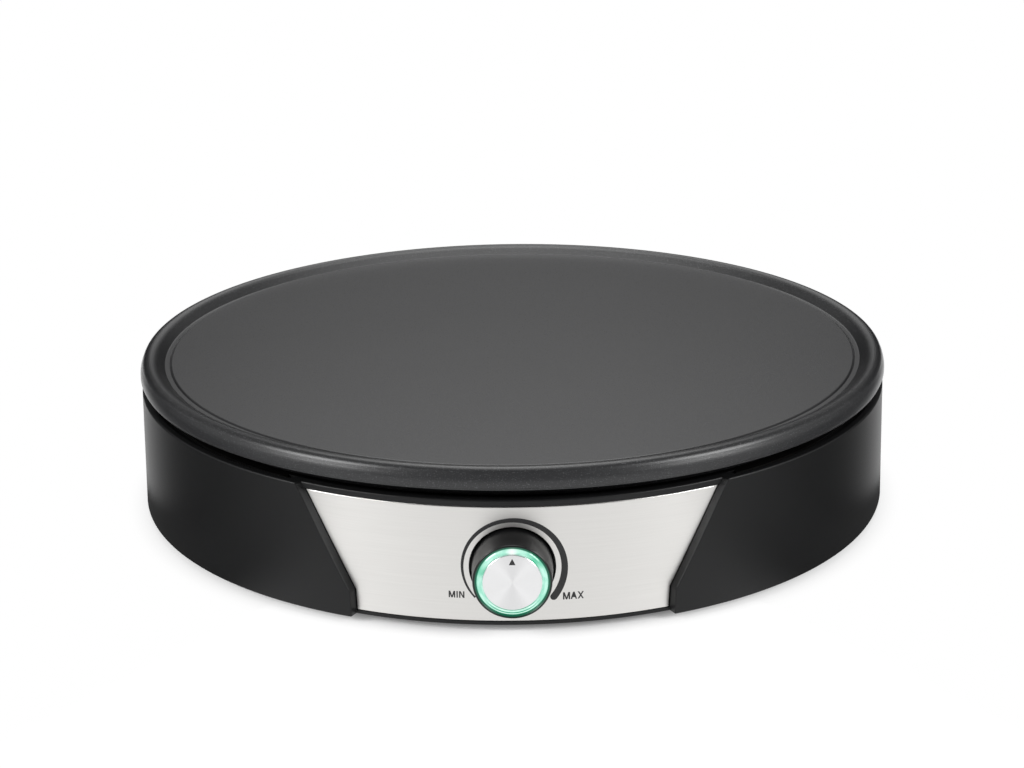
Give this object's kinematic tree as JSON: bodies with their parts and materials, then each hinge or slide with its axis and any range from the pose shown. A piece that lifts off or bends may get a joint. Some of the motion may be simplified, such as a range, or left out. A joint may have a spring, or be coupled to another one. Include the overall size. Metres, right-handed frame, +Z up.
{
  "type": "electric crepe maker",
  "caption": "Round electric crepe maker: a non-stick cast plate on a low black drum with a brushed steel front and a lit temperature knob.",
  "frame": {"origin": "on the table, under the centre of the plate", "axes": "+Z up, -Y towards the knob, +Y towards the cord inlet, +X to the right as seen from the front"},
  "size_m": [0.332, 0.352, 0.0678],
  "materials": {
    "plate_coating": "satin dark non-stick coating",
    "element_tube": "dull, heat-darkened",
    "ceramic": "glazed",
    "contact_brass": "plain",
    "shield_aluminium": "mill",
    "screw_steel": "zinc-plated",
    "housing_plastic": "fine matte grain",
    "panel_steel": "fine horizontal brushing",
    "cover_plastic": "fine matte grain",
    "foot_rubber": "matte",
    "knob_plastic": "satin",
    "ring_plastic": "clear, lit green",
    "cap_aluminium": "turned",
    "spindle_steel": "plain",
    "control_plastic": "moulded phenolic",
    "board_laminate": "solder mask",
    "lamp_plastic": "clear, lit green",
    "feeler_copper": "drawn copper",
    "clip_steel": "zinc-plated",
    "fuse_sleeve": "woven glass sleeve",
    "terminal_plastic": "moulded",
    "gland_rubber": "matte",
    "clamp_plastic": "moulded",
    "lead_brown": "wire insulation",
    "lead_black": "wire insulation",
    "lead_white": "wire insulation",
    "lead_blue": "wire insulation",
    "lead_green_yellow": "wire insulation"
  },
  "bodies": {
    "base": {"cooking_plate": "plate_coating", "heating_element": "element_tube", "element_insulators": "ceramic", "element_blades": "contact_brass", "heat_shield": "shield_aluminium", "plate_spacers": "ceramic", "plate_screws": "screw_steel", "housing_shell": "housing_plastic", "front_panel": "panel_steel", "bottom_cover": "cover_plastic", "rubber_feet": "foot_rubber", "cover_screws": "screw_steel", "thermostat_body": "control_plastic", "thermostat_nut": "contact_brass", "lamp_board": "board_laminate", "lamp_leds": "lamp_plastic", "board_screws": "screw_steel", "sensor_bulb": "feeler_copper", "capillary_tube": "feeler_copper", "bulb_clip": "clip_steel", "thermal_fuse": "fuse_sleeve", "fuse_clip": "clip_steel", "clip_screws": "screw_steel", "earth_screw": "screw_steel", "terminal_block": "terminal_plastic", "terminal_screws": "contact_brass", "cord_gland": "gland_rubber", "cord_clamp": "clamp_plastic", "clamp_screws": "screw_steel", "live_lead": "lead_brown", "switched_lead": "lead_black", "fuse_lead": "lead_white", "neutral_lead": "lead_blue", "earth_lead": "lead_green_yellow", "lamp_leads": "lead_white"},
    "knob": {"knob_shell": "knob_plastic", "knob_light_ring": "ring_plastic", "knob_cap": "cap_aluminium", "thermostat_spindle": "spindle_steel"}
  },
  "joints": [
    {"name": "knob_turn", "type": "hinge", "parent": "base", "child": "knob", "pos_m": [0, -0.162, 0.0271], "axis": [0, 1, 0], "range_deg": [-130, 130]}
  ]
}
